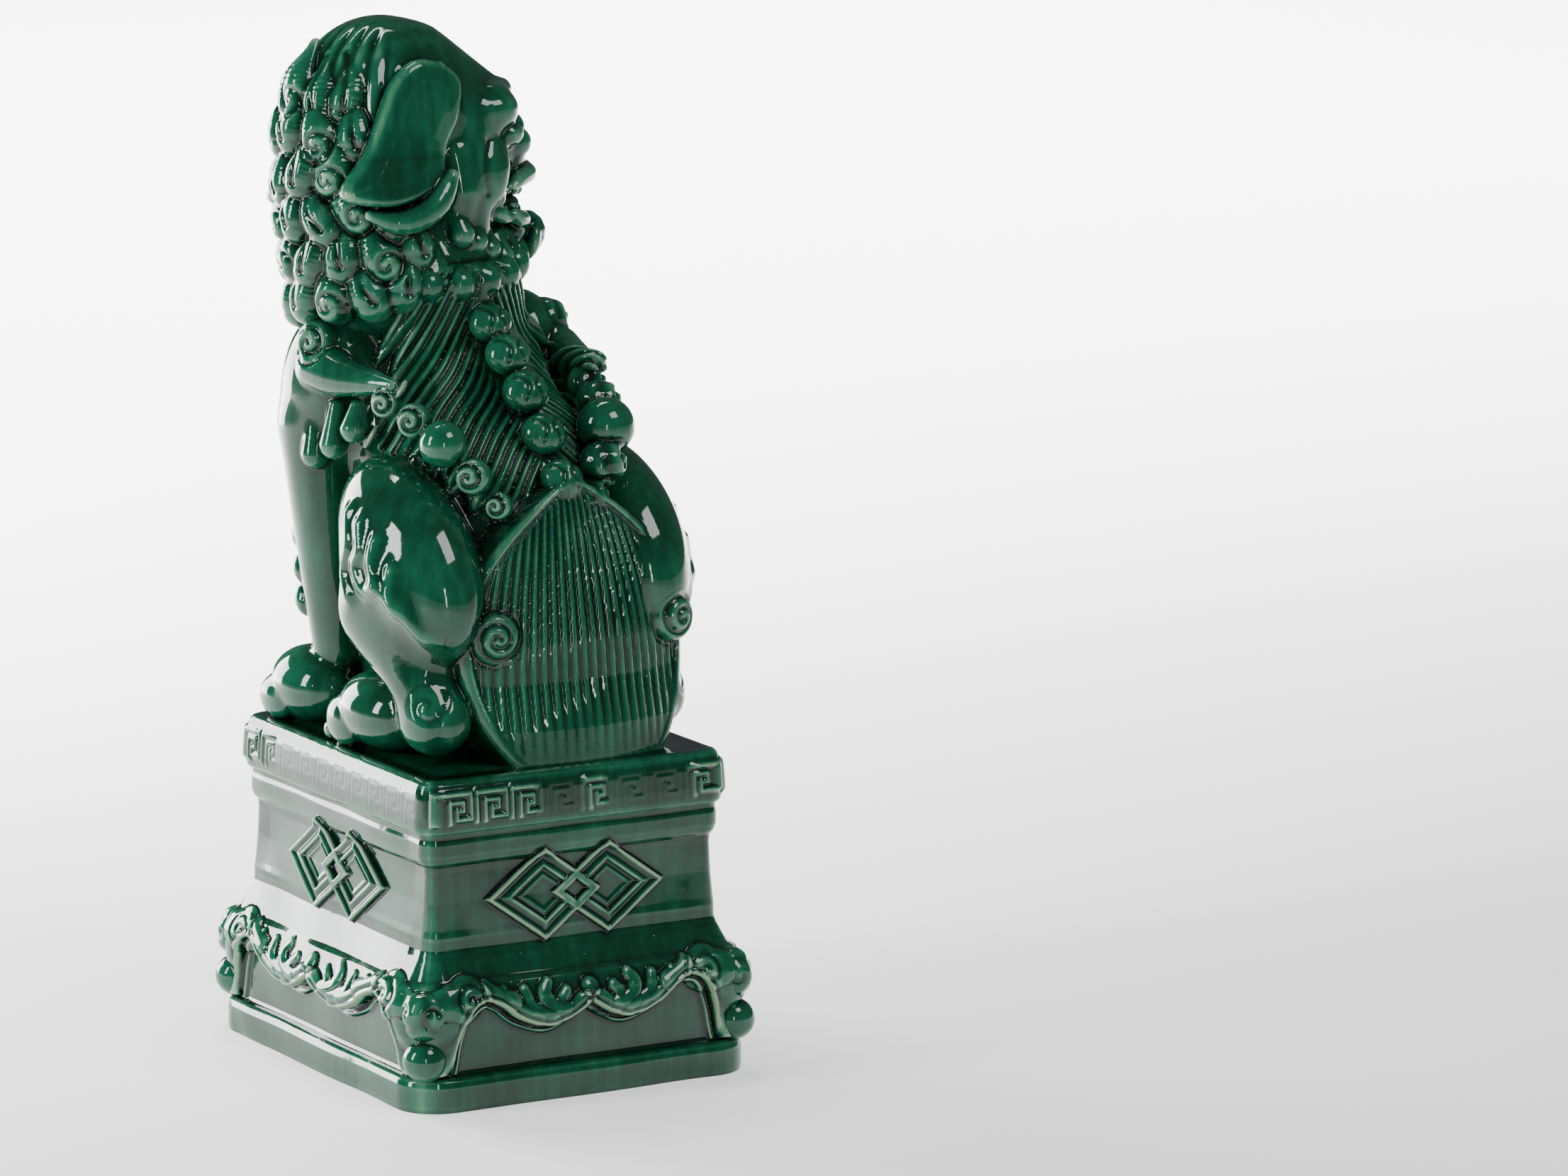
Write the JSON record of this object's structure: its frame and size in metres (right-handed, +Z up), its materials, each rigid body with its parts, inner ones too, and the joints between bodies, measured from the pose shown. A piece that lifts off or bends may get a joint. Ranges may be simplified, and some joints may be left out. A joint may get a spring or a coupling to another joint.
{
  "type": "foo dog statue",
  "caption": "Green-glazed ceramic guardian lion seated upright on a tall moulded plinth, head turned over its shoulder, as a mantel or shelf ornament.",
  "frame": {"origin": "centre of the plinth's underside, on the surface that it stands on", "axes": "+Z up; the plinth's front and the animal's chest face -Y; its left side is +X, and its head is turned over its right shoulder towards -X"},
  "size_m": [0.1504, 0.1753, 0.3908],
  "materials": {
    "body_glaze": "glossy transparent emerald glaze, darker where it pools, paler and yellower on the ridges",
    "plinth_glaze": "glossy transparent emerald glaze over pressed mouldings, thin and pale green along the edges"
  },
  "bodies": {
    "root": {"back_mantle_left": "body_glaze", "back_mantle_right": "body_glaze", "ball_foot_back_left": "plinth_glaze", "ball_foot_back_right": "plinth_glaze", "ball_foot_front_left": "plinth_glaze", "ball_foot_front_right": "plinth_glaze", "beard_curl": "body_glaze", "belly_web": "body_glaze", "brow": "body_glaze", "cheeks": "body_glaze", "chin": "body_glaze", "collar": "body_glaze", "corner_scroll_back_left": "plinth_glaze", "corner_scroll_back_right": "plinth_glaze", "corner_scroll_front_left": "plinth_glaze", "corner_scroll_front_right": "plinth_glaze", "ear_left": "body_glaze", "ear_right": "body_glaze", "eyes": "body_glaze", "flank_curls": "body_glaze", "fore_paw_left": "body_glaze", "fore_paw_right": "body_glaze", "foreleg_left": "body_glaze", "foreleg_right": "body_glaze", "fret_band_back": "plinth_glaze", "fret_band_front": "plinth_glaze", "fret_band_left": "plinth_glaze", "fret_band_right": "plinth_glaze", "haunch_left": "body_glaze", "haunch_right": "body_glaze", "hind_paw_left": "body_glaze", "hind_paw_right": "body_glaze", "leaf_apron_back": "plinth_glaze", "leaf_apron_front": "plinth_glaze", "leaf_apron_left": "plinth_glaze", "leaf_apron_right": "plinth_glaze", "lower_jaw": "body_glaze", "lozenge_back": "plinth_glaze", "lozenge_front": "plinth_glaze", "lozenge_left": "plinth_glaze", "lozenge_right": "plinth_glaze", "mane_cap": "body_glaze", "mane_locks": "body_glaze", "nose": "body_glaze", "plinth_wall_back": "plinth_glaze", "plinth_wall_front": "plinth_glaze", "plinth_wall_left": "plinth_glaze", "plinth_wall_right": "plinth_glaze", "shin_left": "body_glaze", "shin_right": "body_glaze", "shoulder_lobe_left": "body_glaze", "shoulder_lobe_right": "body_glaze", "skull_shell": "body_glaze", "snout": "body_glaze", "spine_knobs": "body_glaze", "tail_fan": "body_glaze", "tail_scrolls": "body_glaze", "teeth": "body_glaze", "top_slab": "plinth_glaze", "torso_shell": "body_glaze"}
  },
  "joints": []
}
